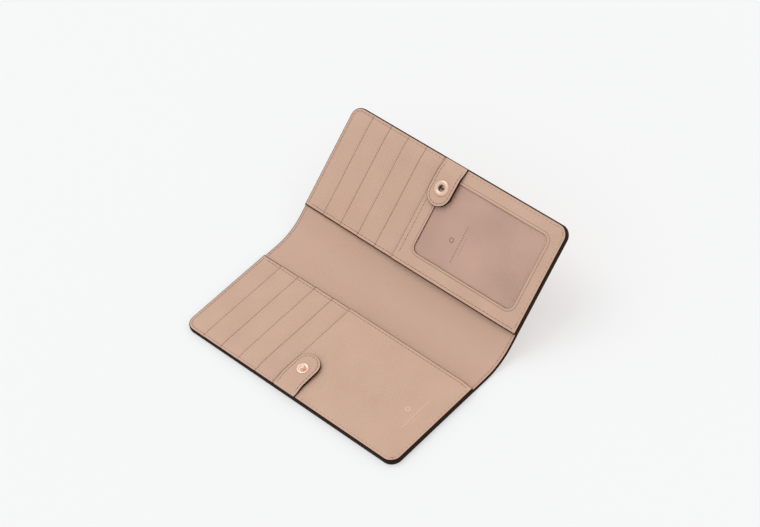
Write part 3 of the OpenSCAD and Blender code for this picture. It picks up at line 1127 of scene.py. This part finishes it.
def lathe(bm, profile, segments=48):
    """Turns a profile of radius and height, given as a closed line, round the snap's axis."""
    verts = [bm.verts.new((r * MM, 0, z * MM)) for r, z in profile]
    edges = [bm.edges.new(pair) for pair in zip(verts, verts[1:] + verts[:1])]
    bmesh.ops.spin(bm, geom=verts + edges, cent=(0, 0, 0), axis=(0, 0, 1), angle=2 * math.pi,
                   steps=segments, use_merge=True)


def snap_piece(half, name, bm, finish):
    """Sets a turned metal piece on its tab."""
    set_down(bm.verts, lambda x, y, z: tab_point(half, TAB_X + x, SNAP_INSET + y, TAB_TOP + z))
    piece = finish_mesh(bm, name, [finish])
    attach(piece, f"{half.name}_tab")
    return piece


def rounded(points, radius, steps_each=4):
    """A closed profile with its corners rounded by short arcs."""
    out = []
    count = len(points)
    for i, point in enumerate(points):
        here = Vector(point)
        before = (Vector(points[i - 1]) - here)
        after = (Vector(points[(i + 1) % count]) - here)
        reach = min(radius, before.length * 0.45, after.length * 0.45)
        a, b = here + before.normalized() * reach, here + after.normalized() * reach
        for k in range(steps_each + 1):
            t = k / steps_each
            out.append(tuple(a * (1 - t) ** 2 + here * 2 * t * (1 - t) + b * t ** 2))
    return out


class WALLET_OT_snaps(Operator):
    """Makes the snap's socket and spring on the upper tab, and its stud on the lower tab"""
    bl_idname = "wallet.snaps"
    bl_label = "Snap"

    def execute(self, context):
        bm = bmesh.new()
        lathe(bm, rounded(RING, 0.35))
        socket = snap_piece(UPPER, "socket_ring", bm, "rose_gold")
        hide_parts("snap_socket")
        bm = bmesh.new()
        upright = Matrix.Translation((WIRE_RING_R, 0, WIRE_H)) @ Matrix.Rotation(math.pi / 2, 4, "X")
        wire = bmesh.ops.create_circle(bm, cap_ends=True, segments=8, radius=WIRE_R, matrix=upright)
        bmesh.ops.spin(bm, geom=bm.faces[:] + bm.edges[:] + wire["verts"], cent=(0, 0, 0), axis=(0, 0, 1),
                       angle=WIRE_TURN, steps=32, use_merge=False)
        spring = snap_piece(UPPER, "socket_wire", bm, "bright_steel")
        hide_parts("socket_spring")
        # The cup inside the socket is painted dark: painted shade in the socket's hole.
        bm = bmesh.new()
        lathe(bm, CUP)
        cup = snap_piece(UPPER, "socket_cup", bm, "socket_shade_metal")
        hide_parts("socket_cap")
        bm = bmesh.new()
        lathe(bm, rounded(STUD, 0.3))
        button = snap_piece(LOWER, "stud_button", bm, "rose_gold")
        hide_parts("snap_stud")
        return {"FINISHED"}


class WALLET_OT_inner_parts(Operator):
    """Gives the boards, welts and snap fixings their finishes"""
    bl_idname = "wallet.inner_parts"
    bl_label = "Inner parts"

    def execute(self, context):
        for half in (LOWER, UPPER):
            repaint(f"{half.name}_stiffener_board", "pressed_board")
            repaint(f"{half.name}_side_welt", "welt_leather")
        repaint("stud_post", "rose_gold")
        return {"FINISHED"}


class WALLET_OT_stage(Operator):
    """Makes the floor, the lights and the camera"""
    bl_idname = "wallet.stage"
    bl_label = "Stage"

    def execute(self, context):
        scene = context.scene
        settings = scene.wallet_stage
        bm = bmesh.new()
        bmesh.ops.create_grid(bm, x_segments=4, y_segments=4, size=FLOOR_REACH)
        floor = finish_mesh(bm, "floor", ["floor"], weighted=False)
        world = bpy.data.worlds.new("studio")
        world.use_nodes = True
        sky = world.node_tree.nodes["Background"]
        sky.inputs["Color"].default_value = (1, 1, 1, 1)
        sky.inputs["Strength"].default_value = settings.sky
        scene.world = world
        lamp = bpy.data.lights.new("key", "SUN")
        lamp.energy = settings.key
        lamp.angle = KEY_ANGLE
        lamp.color = KEY_COLOUR
        key = bpy.data.objects.new("key", lamp)
        scene.collection.objects.link(key)
        key.rotation_euler = KEY_FROM.to_track_quat("Z", "Y").to_euler()
        scene.view_settings.view_transform = "Standard"
        camera = bpy.data.cameras.new("camera")
        camera.lens = settings.lens
        camera.clip_start, camera.clip_end = 0.05, 50
        view = bpy.data.objects.new("camera", camera)
        scene.collection.objects.link(view)
        a, e, roll = settings.azimuth, settings.elevation, settings.roll
        back = Vector((math.sin(a) * math.cos(e), -math.cos(a) * math.cos(e), math.sin(e)))
        level = Vector((math.cos(a), math.sin(a), 0))
        upright = back.cross(level)
        right = level * math.cos(roll) + upright * math.sin(roll)
        up = back.cross(right)
        turn = Matrix((right, up, back)).transposed().to_4x4()
        view.matrix_world = Matrix.Translation(Vector(settings.camera)) @ turn
        scene.camera = view
        return {"FINISHED"}


PIECES = (
    WALLET_OT_stage,
    WALLET_OT_cover,
    WALLET_OT_lining,
    WALLET_OT_pockets,
    WALLET_OT_front_panel,
    WALLET_OT_window,
    WALLET_OT_painted_edges,
    WALLET_OT_stitching,
    WALLET_OT_tabs,
    WALLET_OT_snaps,
    WALLET_OT_foil_mark,
    WALLET_OT_inner_parts,
)


class WALLET_PT_pieces(Panel):
    """Lists the wallet's pieces in the sidebar"""
    bl_idname = "WALLET_PT_pieces"
    bl_label = "Long wallet"
    bl_space_type = "VIEW_3D"
    bl_region_type = "UI"
    bl_category = "Wallet"

    def draw(self, context):
        for settings in ("wallet_shape", "wallet_colours", "wallet_stage"):
            group = getattr(context.scene, settings)
            for name in group.__annotations__:
                self.layout.prop(group, name)
        for operator in PIECES:
            self.layout.operator(operator.bl_idname)


GROUPS = {
    "wallet_shape": WalletShape,
    "wallet_colours": WalletColours,
    "wallet_stage": WalletStage,
}


def register():
    for cls in (*GROUPS.values(), *PIECES, WALLET_PT_pieces):
        bpy.utils.register_class(cls)
    for name, group in GROUPS.items():
        setattr(bpy.types.Scene, name, PointerProperty(type=group))


def unregister():
    for name in GROUPS:
        delattr(bpy.types.Scene, name)
    for cls in (WALLET_PT_pieces, *reversed(PIECES), *GROUPS.values()):
        bpy.utils.unregister_class(cls)


def main():
    register()
    for operator in PIECES:
        group, name = operator.bl_idname.split(".")
        getattr(getattr(bpy.ops, group), name)()


if __name__ == "__main__":
    main()
